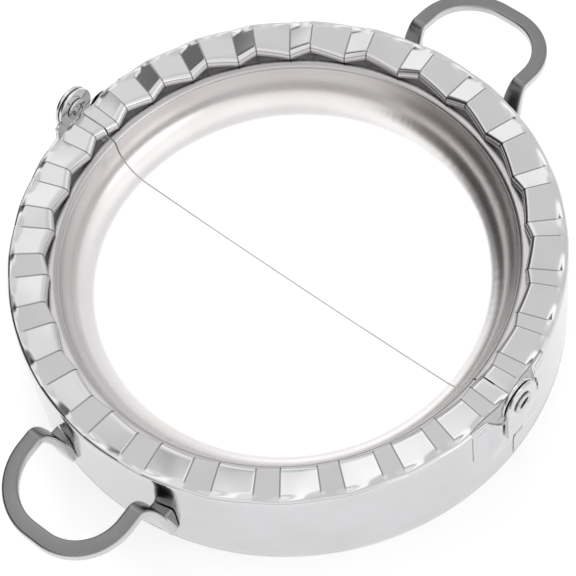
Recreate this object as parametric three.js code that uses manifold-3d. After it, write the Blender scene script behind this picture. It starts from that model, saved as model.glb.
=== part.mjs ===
// Hinged press for filled half-moon pastries, lying open on its cutting edges.
// Two equal halves are riveted together at the ends of a diameter. Each half is a crimping
// shell, a pressed half bowl and a loop handle, all of thin polished steel. The shell is one
// sheet: its band stands on the cutting edge and turns over into the fluted crimping face.
//
// Millimetres, +Z up. The origin is the middle of the round outline, on the surface that the
// press stands on. +X runs along the hinge line, and +Y points at the rear half's handle.

import * as THREE from 'three';
import { mergeVertices } from 'three/addons/utils/BufferGeometryUtils.js';
import Module from 'manifold-3d';

const wasm = await Module();
wasm.setup();

// Whole press
const RING_RADIUS = 47.5; // outside of the cutting band
const RIM_HEIGHT = 21; // mean height of the crimping face above the cutting edge
const SHEET = 0.6; // thickness of every sheet part
const MEETING_GAP = 0.3; // between the two halves' straight ends when open
const CLOSED_GAP = 0.8; // between the two crimping faces when closed
const CUT_OVERRUN = 5; // how far cutting bodies reach past what they cut

// Flutes of the crimping ring
const FLUTES_PER_HALF = 14;
const FLUTE_RISE = 0.6; // from the mean height to a ridge, and down to a valley
const WIDE_FACET_SHARE = 0.62; // of a flute's pitch; the rest is the narrow, steep facet
const CORNER_SOFTENING_SHARE = 0.03; // of a flute's pitch, to each side of a ridge or valley
const PITCH_SWELL_SHARE = 0.14; // by which flutes are closer at the hinge and wider away from it
const LIP_ZIGZAG = 0.45; // inward where the inner lip dips, outward where it rises
const FLUTE_RUNOUT = 0.9; // over which the flutes rise from the band to their full height
const FLUTE_EDGE_SHARE = 0.35; // of their height that is left at the band

// Crimping face
const CRIMP_WIDTH = 6.7; // from the outside of the band to the inner lip
const OUTER_BEND_RADIUS = 0.7;
const INNER_BEND_RADIUS = 1;
const INNER_LIP_DEPTH = 1.8;
const BEND_STEPS = 2;

// Band and its join with the crimping face
const BAND_TOP_DROP = 1.2; // from the mean crimping height down to the band's upper edge
const JOIN_DEPTH = 1.4; // below that edge, over which face and band are one sheet

// Slits that free the crimping face from the ears
const SLIT_LENGTH = 9.5; // along the hinged end, from the hinge line
const SLIT_INSET = 0.8; // from the outside of the band to the face's edge at the hinge line
const NECK_TOP_DROP = 0.6; // from the mean crimping height down to the band's top beside a slit
const NECK_RISE_LENGTH = 2; // over which the band's top rises to that height

// Ears at the band's ends
const EAR_STANDOFF = 0.4; // from the band's outside to the inner ear
const EAR_GAP = 0.3; // between the inner and the outer ear
const EAR_RADIUS = 3.8;
const EAR_STEPS = 40;
const LAP_DEPTH = 8.2; // below the hinge axis, of the outer ear's lap over the other half
const LAP_CORNER_RADIUS = 1;
const LAP_CORNER_STEPS = 4;
const FLARE_LENGTH = 6.6; // of the band's end that bends outwards into the ear
const FLARE_FLAT_LENGTH = 4; // of that end which is flat
const FLARE_ROOT_HEIGHT = 5; // below this the band keeps to its circle
const FLARE_FULL_HEIGHT = 13; // above this the flare is complete
const FLARE_ROWS = 3;
const FLARE_STEPS = 3; // between two sections of the flutes

// Notches between the ears and the band's top, measured from the hinge line
const INNER_NOTCH_REACH = 6;
const INNER_NOTCH_FOOT = 3.2;
const INNER_NOTCH_DEPTH = 3;
const OUTER_NOTCH_REACH = 5.2;
const OUTER_NOTCH_FOOT = 4.2;
const OUTER_NOTCH_DEPTH = 1;

// Seam line down the band from the slit beside the inner ear
const SEAM_LENGTH = 8.2;
const SEAM_WIDTH = 0.2;
const SEAM_DEPTH = 0.3;

// Tubular rivets
const RIVET_TUBE_RADIUS = 1.5;
const RIVET_BORE_RADIUS = 1.1;
const RIVET_ROLL_RADIUS = 2.05;
const RIVET_ROLL_THICKNESS = 0.4;
const RIVET_ROLL_EDGE_SHARE = 0.5; // of the roll's thickness, taken off its corners
const RIVET_RUNNING_CLEARANCE = 0.1; // radial, in the ear's hole
const RIVET_ROLL_GAP = 0.1; // between a rolled end and the ear beside it
const RIVET_STEPS = 24;

// Half bowl
const BOWL_SEAT_GAP = 0.3; // between the bowl's rim and the lowest places of the inner lip
const BOWL_RIM_SHOW = 1.3; // of the rim, from the wall to the mean inner lip
const BOWL_RIM_WIDTH = 3.4; // from the wall outwards, under the inner lip
const BOWL_WALL_RADIUS = 6; // across the round of the wall, measured level
const BOWL_WALL_DEPTH = 7.4; // down the round of the wall
const BOWL_FLOOR_DISH = 0.7; // by which the floor is lower in the middle
const BOWL_WALL_STEPS = 6;
const BOWL_FLOOR_STEPS = 2;
const BOWL_STEPS = 72; // around the full circle

// Loop handles
const HANDLE_WIDTH = 25; // over the outside of the loop
const HANDLE_REACH = 17.5; // from the band to the outside of the loop
const HANDLE_BEND_RADIUS = 11; // outside of the loop's corners
const HANDLE_BAR_WIDTH = 2.8;
const HANDLE_BAR_HEIGHT = 2;
const HANDLE_BAR_EDGE_RADIUS = 0.7;
const HANDLE_DROP = 1.4; // from the mean crimping height down to the level of the bar's top
const HANDLE_LEVEL_LENGTH = 4; // from the band outwards, before that level droops
const HANDLE_DROOP = THREE.MathUtils.degToRad(10);
const HANDLE_NECK_DROP = 7.5; // from that level down to the top of the bar's root on the band
const HANDLE_NECK_LENGTH = 4; // from the band outwards, over which the bar bends down to its root
const HANDLE_FOOT_WIDTH = 4;
const HANDLE_FOOT_LENGTH = 4; // over which the bar widens to its foot
const HANDLE_SEAT_GAP = 0.2; // between the foot and the band
const HANDLE_CORNER_STEPS = 8;
const HANDLE_STEPS = 72;

const PIVOT_HEIGHT = RIM_HEIGHT + CLOSED_GAP / 2;
const INNER_EAR_FACE = RING_RADIUS + EAR_STANDOFF + SHEET;
const OUTER_EAR_FACE = INNER_EAR_FACE + EAR_GAP + SHEET;
const CRIMP_INNER_RADIUS = RING_RADIUS - CRIMP_WIDTH;

// Joins and cuts

/** Turns a closed three.js geometry into a solid that can be joined and cut. */
function solidOf(geometry) {
  const plain = geometry.clone();
  plain.deleteAttribute('normal');
  plain.deleteAttribute('uv');
  const merged = mergeVertices(plain);
  return new wasm.Manifold(new wasm.Mesh({
    numProp: 3,
    vertProperties: new Float32Array(merged.attributes.position.array),
    triVerts: new Uint32Array(merged.index.array),
  }));
}

/** Gives a solid back as a three.js geometry. */
function geometryOf(solid) {
  const mesh = solid.getMesh();
  const geometry = new THREE.BufferGeometry();
  geometry.setAttribute('position', new THREE.BufferAttribute(mesh.vertProperties, 3));
  geometry.setIndex(new THREE.BufferAttribute(mesh.triVerts, 1));
  geometry.computeVertexNormals();
  return geometry;
}

/** A block that keeps only what lies on the rear side of the hinge line, less half the gap. */
function rearSide() {
  const reach = RING_RADIUS + HANDLE_REACH + CUT_OVERRUN;
  const block = new THREE.BoxGeometry(2 * reach, reach, 2 * reach);
  block.translate(0, MEETING_GAP / 2 + reach / 2, 0);
  return solidOf(block);
}

// Shapes

/**
 * Outline of a sheet of even thickness that follows a path of {r, z} points. It runs along
 * the path on its right side and returns on its left; each point keeps its path point's marks.
 */
function sheetOutline(path, thickness) {
  const sides = { right: [], left: [] };
  path.forEach((point, i) => {
    const before = path[Math.max(i - 1, 0)];
    const after = path[Math.min(i + 1, path.length - 1)];
    const incoming = new THREE.Vector2(point.r - before.r, point.z - before.z).normalize();
    const outgoing = new THREE.Vector2(after.r - point.r, after.z - point.z).normalize();
    if (i === 0) incoming.copy(outgoing);
    if (i === path.length - 1) outgoing.copy(incoming);
    const along = incoming.clone().add(outgoing).normalize();
    const mitre = thickness / 2 / along.dot(incoming);
    sides.right.push({ ...point, r: point.r + along.y * mitre, z: point.z - along.x * mitre });
    sides.left.push({ ...point, r: point.r - along.y * mitre, z: point.z + along.x * mitre });
  });
  return [...sides.right, ...sides.left.reverse()];
}

/** Points of a bend in a path, as {r, z}, both ends included. */
function bend(centreR, centreZ, radius, startAngle, endAngle, steps) {
  return Array.from({ length: steps + 1 }, (_, i) => {
    const angle = THREE.MathUtils.lerp(startAngle, endAngle, i / steps);
    return { r: centreR + radius * Math.cos(angle), z: centreZ + radius * Math.sin(angle) };
  });
}

/**
 * Turns a closed outline round the Z axis. place(point, section) gives each vertex its
 * THREE.Vector3, where section counts the steps round the circle from the +X end.
 */
function turned(outline, steps, place) {
  const ring = [...outline, outline[0]];
  const geometry = new THREE.LatheGeometry(ring.map(({ r, z }) => new THREE.Vector2(r, z)), steps);
  const positions = geometry.attributes.position;
  for (let i = 0; i < positions.count; i += 1) {
    const section = Math.floor(i / ring.length) % steps;
    const spot = place(ring[i % ring.length], section);
    positions.setXYZ(i, spot.x, spot.y, spot.z);
  }
  return geometry;
}

/** A point at a radius, angle and height. */
function polar(radius, angle, height) {
  return new THREE.Vector3(radius * Math.cos(angle), radius * Math.sin(angle), height);
}

// Crimping shell

/** Height of the sharp flute, from -1 in a valley to 1 on a ridge, by its share of a pitch. */
function sharpFlute(share) {
  const corner = WIDE_FACET_SHARE / 2;
  const phase = share - Math.round(share);
  if (Math.abs(phase) <= corner) return phase / corner;
  const pastMiddle = 1 - 2 * Math.abs(phase);
  return Math.sign(phase) * pastMiddle / (1 - WIDE_FACET_SHARE);
}

/** Shares of one pitch at which the shell has a section: the middle and beside each corner. */
function fluteSectionShares() {
  const corner = WIDE_FACET_SHARE / 2;
  const soft = CORNER_SOFTENING_SHARE;
  return [0, corner - soft, corner + soft, 1 - corner - soft, 1 - corner + soft];
}

const SECTION_SHARES = fluteSectionShares();
const SECTIONS = 2 * FLUTES_PER_HALF * SECTION_SHARES.length;

/** Share of its pitch at which a section lies. */
function sectionShare(section) {
  return SECTION_SHARES[section % SECTION_SHARES.length];
}

/** Angle of a section; the flutes are closer together near the hinges. */
function sectionAngle(section) {
  const pitches = Math.floor(section / SECTION_SHARES.length) + sectionShare(section);
  const even = pitches * Math.PI / FLUTES_PER_HALF;
  return even - PITCH_SWELL_SHARE / 2 * Math.sin(2 * even);
}

/** What the slit takes from the crimping face at the end on one side, -1 or 1. */
function slit(side) {
  const wall = RING_RADIUS - SHEET;
  const outside = RING_RADIUS + CUT_OVERRUN;
  const end = Math.sqrt(wall * wall - SLIT_LENGTH * SLIT_LENGTH);
  const outline = new THREE.Shape([
    new THREE.Vector2(side * (RING_RADIUS - SLIT_INSET), 0),
    new THREE.Vector2(side * end, SLIT_LENGTH),
    new THREE.Vector2(side * outside, SLIT_LENGTH),
    new THREE.Vector2(side * outside, 0),
  ]);
  return solidOf(new THREE.ExtrudeGeometry(outline, { depth: 2 * RIM_HEIGHT, bevelEnabled: false }));
}

/** Share of the flutes' height at a radius; they run out towards the band. */
function fluteFullness(r) {
  const inside = THREE.MathUtils.smoothstep(RING_RADIUS - SHEET - r, 0, FLUTE_RUNOUT);
  return THREE.MathUtils.lerp(FLUTE_EDGE_SHARE, 1, inside);
}

/** The fluted face with its inner lip, and outside it the turn down into the band. */
function crimpingFace() {
  const outer = RING_RADIUS - SHEET / 2;
  const inner = CRIMP_INNER_RADIUS + SHEET / 2;
  const outerBend = OUTER_BEND_RADIUS - SHEET / 2;
  const innerBend = INNER_BEND_RADIUS - SHEET / 2;
  const path = [
    { r: outer, z: RIM_HEIGHT - BAND_TOP_DROP - JOIN_DEPTH },
    ...bend(outer - outerBend, RIM_HEIGHT - OUTER_BEND_RADIUS, outerBend, 0, Math.PI / 2, BEND_STEPS),
    { r: RING_RADIUS - SHEET - FLUTE_RUNOUT, z: RIM_HEIGHT - SHEET / 2 },
    ...bend(inner + innerBend, RIM_HEIGHT - INNER_BEND_RADIUS, innerBend, Math.PI / 2, Math.PI, BEND_STEPS),
    { r: inner, z: RIM_HEIGHT - INNER_LIP_DEPTH },
  ];
  const face = turned(sheetOutline(path, SHEET), SECTIONS, ({ r, z }, section) => {
    const height = sharpFlute(sectionShare(section));
    const rise = FLUTE_RISE * height * fluteFullness(r);
    const inwards = Math.max(RING_RADIUS - SHEET - r, 0) / CRIMP_WIDTH;
    return polar(r + LIP_ZIGZAG * height * inwards, sectionAngle(section), z + rise);
  });
  return solidOf(face).subtract(slit(1)).subtract(slit(-1));
}

/** Outwards bend of the band's ends, from 0 on the circle to 1 in the flat of the ear. */
function flare(distance, height) {
  const side = 1 - THREE.MathUtils.smoothstep(distance, FLARE_FLAT_LENGTH, FLARE_LENGTH);
  return side * THREE.MathUtils.smoothstep(height, FLARE_ROOT_HEIGHT, FLARE_FULL_HEIGHT);
}

/** Angles of the band's sections: those of the flutes, and more of them along the flares. */
function bandAngles() {
  return Array.from({ length: SECTIONS }, (_, section) => {
    const start = sectionAngle(section);
    const end = sectionAngle(section + 1);
    const nearest = Math.min(Math.abs(Math.sin(start)), Math.abs(Math.sin(end)));
    const parts = RING_RADIUS * nearest < FLARE_LENGTH ? FLARE_STEPS : 1;
    return Array.from({ length: parts }, (_, part) => THREE.MathUtils.lerp(start, end, part / parts));
  }).flat();
}

/** How far the band's top is raised at a distance from the hinge line. */
function neckRise(distance) {
  const beside = 1 - THREE.MathUtils.smoothstep(distance, SLIT_LENGTH - NECK_RISE_LENGTH, SLIT_LENGTH);
  return (BAND_TOP_DROP - NECK_TOP_DROP) * beside;
}

/** The round band, bent outwards at its ends so that it carries the ears. */
function band() {
  const top = RIM_HEIGHT - BAND_TOP_DROP;
  const flareHeights = Array.from({ length: FLARE_ROWS + 1 }, (_, i) =>
    THREE.MathUtils.lerp(FLARE_ROOT_HEIGHT, FLARE_FULL_HEIGHT, i / FLARE_ROWS));
  const path = [0, ...flareHeights, top].map((z) => ({ r: RING_RADIUS - SHEET / 2, z }));
  const angles = bandAngles();
  return solidOf(turned(sheetOutline(path, SHEET), angles.length, ({ r, z }, section) => {
    const spot = polar(r, angles[section], z);
    const distance = Math.abs(spot.y);
    const earFace = spot.x > 0 ? OUTER_EAR_FACE : -INNER_EAR_FACE;
    const flat = earFace - Math.sign(earFace) * (RING_RADIUS - r);
    spot.x = THREE.MathUtils.lerp(spot.x, flat, flare(distance, z));
    if (z === top) spot.z += neckRise(distance);
    return spot;
  }));
}

/** A flat body across the sheet at faceX, from an outline of points along Y and Z. */
function acrossSheet(faceX, points, thickness) {
  const outline = new THREE.Shape(points);
  const plate = new THREE.ExtrudeGeometry(outline, { depth: thickness, bevelEnabled: false });
  plate.rotateX(Math.PI / 2).rotateZ(Math.PI / 2);
  plate.translate(faceX - Math.sign(faceX) * SHEET / 2 - thickness / 2, 0, 0);
  return solidOf(plate);
}

/** A flat round ear whose outer face is at faceX, on the hinge axis. */
function ear(faceX) {
  const middle = faceX - Math.sign(faceX) * SHEET / 2;
  const disc = new THREE.CylinderGeometry(EAR_RADIUS, EAR_RADIUS, SHEET, EAR_STEPS);
  disc.rotateZ(Math.PI / 2).translate(middle, 0, PIVOT_HEIGHT);
  return solidOf(disc);
}

/** The outer ear's lap: the sheet below it, which reaches over the end of the other half's band. */
function earLap() {
  const low = PIVOT_HEIGHT - LAP_DEPTH;
  const corner = bend(
    LAP_CORNER_RADIUS - EAR_RADIUS, low + LAP_CORNER_RADIUS, LAP_CORNER_RADIUS,
    Math.PI, 3 * Math.PI / 2, LAP_CORNER_STEPS,
  ).map(({ r, z }) => new THREE.Vector2(r, z));
  return acrossSheet(OUTER_EAR_FACE, [
    new THREE.Vector2(-EAR_RADIUS, PIVOT_HEIGHT),
    ...corner,
    new THREE.Vector2(EAR_RADIUS, low),
    new THREE.Vector2(EAR_RADIUS, PIVOT_HEIGHT),
  ], SHEET);
}

/** The notch in the band's top between an ear at faceX and the slit. */
function earNotch(faceX, reach, foot, depth) {
  const top = RIM_HEIGHT - NECK_TOP_DROP;
  return acrossSheet(faceX, [
    new THREE.Vector2(reach, top),
    new THREE.Vector2(foot, top - depth),
    new THREE.Vector2(0, PIVOT_HEIGHT),
    new THREE.Vector2(reach, PIVOT_HEIGHT),
  ], CUT_OVERRUN);
}

/** The seam line in the outside of the band, from the end of the slit at -X. */
function seam() {
  const inside = RING_RADIUS - SEAM_DEPTH;
  const line = new THREE.BoxGeometry(CUT_OVERRUN, SEAM_WIDTH, SEAM_LENGTH);
  line.translate(inside + CUT_OVERRUN / 2, 0, RIM_HEIGHT - BAND_TOP_DROP - SEAM_LENGTH / 2);
  line.rotateZ(Math.PI - Math.asin(SLIT_LENGTH / RING_RADIUS));
  return solidOf(line);
}

/** The hole for a rivet through the ear on one side, -1 or 1. */
function earHole(side) {
  const radius = RIVET_TUBE_RADIUS + RIVET_RUNNING_CLEARANCE;
  const plug = new THREE.CylinderGeometry(radius, radius, CUT_OVERRUN, RIVET_STEPS);
  plug.rotateZ(Math.PI / 2).translate(side * (RING_RADIUS + CUT_OVERRUN / 2), 0, PIVOT_HEIGHT);
  return solidOf(plug);
}

/** The rear half's shell: its outer ear is at +X, and its inner ear is at -X. */
function crimpingShell() {
  const notched = band()
    .subtract(earNotch(OUTER_EAR_FACE, OUTER_NOTCH_REACH, OUTER_NOTCH_FOOT, OUTER_NOTCH_DEPTH))
    .subtract(earNotch(-INNER_EAR_FACE, INNER_NOTCH_REACH, INNER_NOTCH_FOOT, INNER_NOTCH_DEPTH));
  const sheet = notched.add(crimpingFace()).subtract(seam()).intersect(rearSide());
  const eared = sheet.add(earLap()).add(ear(OUTER_EAR_FACE)).add(ear(-INNER_EAR_FACE));
  return geometryOf(eared.subtract(earHole(1)).subtract(earHole(-1)));
}

// Half bowl

function halfBowl() {
  const rimHeight = RIM_HEIGHT - INNER_LIP_DEPTH - FLUTE_RISE - BOWL_SEAT_GAP - SHEET / 2;
  const wallTop = CRIMP_INNER_RADIUS - BOWL_RIM_SHOW;
  const rimBend = INNER_BEND_RADIUS - SHEET / 2;
  const wallStart = rimHeight - rimBend;
  const floorRadius = wallTop - BOWL_WALL_RADIUS;
  const floorHeight = wallStart - BOWL_WALL_DEPTH;
  const path = [
    ...Array.from({ length: BOWL_FLOOR_STEPS }, (_, i) => {
      const out = i / BOWL_FLOOR_STEPS;
      return { r: floorRadius * out, z: floorHeight - BOWL_FLOOR_DISH * (1 - out * out) };
    }),
    ...Array.from({ length: BOWL_WALL_STEPS }, (_, i) => {
      const angle = i / BOWL_WALL_STEPS * Math.PI / 2;
      return {
        r: floorRadius + BOWL_WALL_RADIUS * Math.sin(angle),
        z: wallStart - BOWL_WALL_DEPTH * Math.cos(angle),
      };
    }),
    ...bend(wallTop + rimBend, wallStart, rimBend, Math.PI, Math.PI / 2, BEND_STEPS),
    { r: wallTop + BOWL_RIM_WIDTH, z: rimHeight },
  ];
  const outline = sheetOutline(path, SHEET).map((point) => ({ ...point, r: Math.max(point.r, 0) }));
  outline[0].r = 0;
  outline[outline.length - 1].r = 0;
  const bowl = new THREE.LatheGeometry(outline.map(({ r, z }) => new THREE.Vector2(r, z)), BOWL_STEPS);
  bowl.rotateX(Math.PI / 2);
  return geometryOf(solidOf(bowl).intersect(rearSide()));
}

// Loop handle

/** Section of the bar, a rectangle with rounded edges; its X runs up and its Y across the bar. */
function barSection() {
  const x = HANDLE_BAR_HEIGHT / 2 - HANDLE_BAR_EDGE_RADIUS;
  const y = HANDLE_BAR_WIDTH / 2 - HANDLE_BAR_EDGE_RADIUS;
  const section = new THREE.Shape();
  section.absarc(x, y, HANDLE_BAR_EDGE_RADIUS, 0, Math.PI / 2);
  section.absarc(-x, y, HANDLE_BAR_EDGE_RADIUS, Math.PI / 2, Math.PI);
  section.absarc(-x, -y, HANDLE_BAR_EDGE_RADIUS, Math.PI, 3 * Math.PI / 2);
  section.absarc(x, -y, HANDLE_BAR_EDGE_RADIUS, 3 * Math.PI / 2, 2 * Math.PI);
  section.closePath();
  return section;
}

/** Middle line of the loop, level, from inside the band out and back. */
function loopPath() {
  const side = HANDLE_WIDTH / 2 - HANDLE_BAR_WIDTH / 2;
  const far = RING_RADIUS + HANDLE_REACH - HANDLE_BAR_WIDTH / 2;
  const radius = HANDLE_BEND_RADIUS - HANDLE_BAR_WIDTH / 2;
  const start = RING_RADIUS - HANDLE_FOOT_LENGTH;
  const corner = bend(side - radius, far - radius, radius, 0, Math.PI / 2, HANDLE_CORNER_STEPS)
    .map(({ r, z }) => new THREE.Vector3(r, z, 0));
  const leg = [new THREE.Vector3(side, start, 0), new THREE.Vector3(side, RING_RADIUS, 0)];
  const half = [...leg, ...corner];
  const mirrored = half.map((point) => new THREE.Vector3(-point.x, point.y, point.z)).reverse();
  return new THREE.CatmullRomCurve3([...half, ...mirrored], false, 'centripetal');
}

function loopHandle() {
  const bar = new THREE.ExtrudeGeometry(barSection(), {
    extrudePath: loopPath(), steps: HANDLE_STEPS, curveSegments: 2,
  });
  const side = HANDLE_WIDTH / 2 - HANDLE_BAR_WIDTH / 2;
  const positions = bar.attributes.position;
  for (let i = 0; i < positions.count; i += 1) {
    const out = Math.max(positions.getY(i) - RING_RADIUS, 0);
    const foot = 1 - THREE.MathUtils.smoothstep(out, 0, HANDLE_FOOT_LENGTH);
    const leg = Math.sign(positions.getX(i)) * side;
    const widening = THREE.MathUtils.lerp(1, HANDLE_FOOT_WIDTH / HANDLE_BAR_WIDTH, foot);
    const bent = Math.max(1 - out / HANDLE_NECK_LENGTH, 0);
    const slope = 2 * HANDLE_NECK_DROP / HANDLE_NECK_LENGTH * bent;
    const belowTop = (HANDLE_BAR_HEIGHT / 2 - positions.getZ(i)) * Math.hypot(1, slope);
    const droop = Math.tan(HANDLE_DROOP) * Math.max(out - HANDLE_LEVEL_LENGTH, 0);
    positions.setX(i, leg + (positions.getX(i) - leg) * widening);
    positions.setZ(i, RIM_HEIGHT - HANDLE_DROP - HANDLE_NECK_DROP * bent * bent - belowTop - droop);
  }
  const seatRadius = RING_RADIUS + HANDLE_SEAT_GAP;
  const drum = new THREE.CylinderGeometry(seatRadius, seatRadius, 2 * RIM_HEIGHT, SECTIONS);
  drum.rotateX(Math.PI / 2).translate(0, 0, RIM_HEIGHT);
  return geometryOf(solidOf(bar).subtract(solidOf(drum)));
}

// Tubular rivet

/** A rivet through both ears at +X, rolled over at both ends, with an open bore. */
function tubularRivet() {
  const start = RING_RADIUS + EAR_STANDOFF - RIVET_ROLL_GAP - RIVET_ROLL_THICKNESS;
  const length = OUTER_EAR_FACE + RIVET_ROLL_GAP + RIVET_ROLL_THICKNESS - start;
  const edge = RIVET_ROLL_THICKNESS * RIVET_ROLL_EDGE_SHARE;
  const rolledEnd = [
    [RIVET_BORE_RADIUS, edge],
    [RIVET_BORE_RADIUS + edge, 0],
    [RIVET_ROLL_RADIUS - edge, 0],
    [RIVET_ROLL_RADIUS, edge],
    [RIVET_ROLL_RADIUS - edge, RIVET_ROLL_THICKNESS],
    [RIVET_TUBE_RADIUS, RIVET_ROLL_THICKNESS],
  ];
  const otherEnd = rolledEnd.map(([r, h]) => [r, length - h]).reverse();
  const profile = [...rolledEnd, ...otherEnd, rolledEnd[0]];
  const rivet = new THREE.LatheGeometry(profile.map(([r, h]) => new THREE.Vector2(r, h)), RIVET_STEPS);
  rivet.rotateZ(-Math.PI / 2).translate(start, 0, PIVOT_HEIGHT);
  return geometryOf(solidOf(rivet));
}

// Assembly

const steel = (color, roughness) => new THREE.MeshStandardMaterial({ color, roughness, metalness: 1 });
const shellSteel = steel(0xd2d2d3, 0.18);
const bowlSteel = steel(0xdcd8d8, 0.22);
const handleSteel = steel(0xb9babb, 0.24);
const rivetSteel = steel(0xc4c5c7, 0.22);

/** Adds one named piece to a group. */
function addPiece(group, name, geometry, material) {
  const mesh = new THREE.Mesh(geometry, material);
  mesh.name = name;
  group.add(mesh);
}

/** One half of the press; the front half is the rear half turned half a turn about Z. */
function pressHalf(side, turn) {
  const half = new THREE.Group();
  addPiece(half, `${side}_crimping_shell`, crimpingShell(), shellSteel);
  addPiece(half, `${side}_half_bowl`, halfBowl(), bowlSteel);
  addPiece(half, `${side}_loop_handle`, loopHandle(), handleSteel);
  half.rotation.z = turn;
  return half;
}

const press = new THREE.Group();
press.add(pressHalf('rear', 0));
press.add(pressHalf('front', Math.PI));

['right', 'left'].forEach((side, i) => {
  const hinge = new THREE.Group();
  addPiece(hinge, `${side}_hinge_rivet`, tubularRivet(), rivetSteel);
  hinge.rotation.z = i * Math.PI;
  press.add(hinge);
});

export default press;
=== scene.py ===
"""Looks of a hinged steel press for half-moon pastries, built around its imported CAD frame.

All lengths are metres in the frame of the CAD part: +X along the hinge line, +Y towards the
rear half's handle, +Z up. The front half is the rear half turned half a turn about Z.
"""

from __future__ import annotations

import logging
import math
from dataclasses import dataclass, field
from enum import Enum
from typing import Any, Iterable, Sequence, Union

import bmesh
import bpy
import numpy as np
from mathutils import Matrix, Vector

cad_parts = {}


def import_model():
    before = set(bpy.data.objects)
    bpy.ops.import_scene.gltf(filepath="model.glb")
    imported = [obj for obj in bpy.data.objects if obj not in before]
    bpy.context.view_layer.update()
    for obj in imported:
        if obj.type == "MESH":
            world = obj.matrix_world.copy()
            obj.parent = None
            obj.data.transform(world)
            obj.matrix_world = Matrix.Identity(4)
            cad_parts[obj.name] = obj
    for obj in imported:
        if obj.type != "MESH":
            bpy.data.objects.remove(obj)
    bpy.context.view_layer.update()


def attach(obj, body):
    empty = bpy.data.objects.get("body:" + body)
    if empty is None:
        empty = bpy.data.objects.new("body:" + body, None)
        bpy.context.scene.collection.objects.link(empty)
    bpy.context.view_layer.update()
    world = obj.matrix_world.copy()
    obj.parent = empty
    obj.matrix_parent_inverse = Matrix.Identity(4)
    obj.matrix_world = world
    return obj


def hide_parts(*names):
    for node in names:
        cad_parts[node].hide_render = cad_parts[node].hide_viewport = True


Piece = bpy.types.Object
Pair = tuple[float, float]
Triple = tuple[float, float, float]

LOG = logging.getLogger("pastry_press")
MM = 0.001
PHOTO_SIDE = 576  # pixels
BLACK = (0.0, 0.0, 0.0)
NOISE_ROUGHNESS = 0.55
MERGE = 1e-7  # distance below which vertices are one
HAIR = 0.01 * MM  # distance below which a place counts as on an edge
CUT_OVERRUN = 5 * MM  # how far cutting bodies reach past what they cut
NOTCH_HALF = 3 * MM  # how far a notch's body reaches to both sides of the ear's face


# Node trees written as expressions


class Wire:
    """An output socket of a node, on which the usual operators add Math nodes."""

    def __init__(self, bench: "Bench", socket: bpy.types.NodeSocket) -> None:
        """Keeps an output socket and the bench that adds nodes to its tree."""
        self.bench = bench
        self.socket = socket

    def __add__(self, other: "Value") -> "Wire":
        """Sum."""
        return self.bench.math("ADD", self, other)

    __radd__ = __add__

    def __mul__(self, other: "Value") -> "Wire":
        """Product."""
        return self.bench.math("MULTIPLY", self, other)

    __rmul__ = __mul__

    def __sub__(self, other: "Value") -> "Wire":
        """Difference."""
        return self.bench.math("SUBTRACT", self, other)

    def __rsub__(self, other: "Value") -> "Wire":
        """Difference with this wire on the right."""
        return self.bench.math("SUBTRACT", other, self)

    def __truediv__(self, other: "Value") -> "Wire":
        """Quotient."""
        return self.bench.math("DIVIDE", self, other)

    def __abs__(self) -> "Wire":
        """Size without the sign."""
        return self.bench.math("ABSOLUTE", self)


Value = Union[Wire, float, int]
Colour = Union[Wire, Triple]


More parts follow.
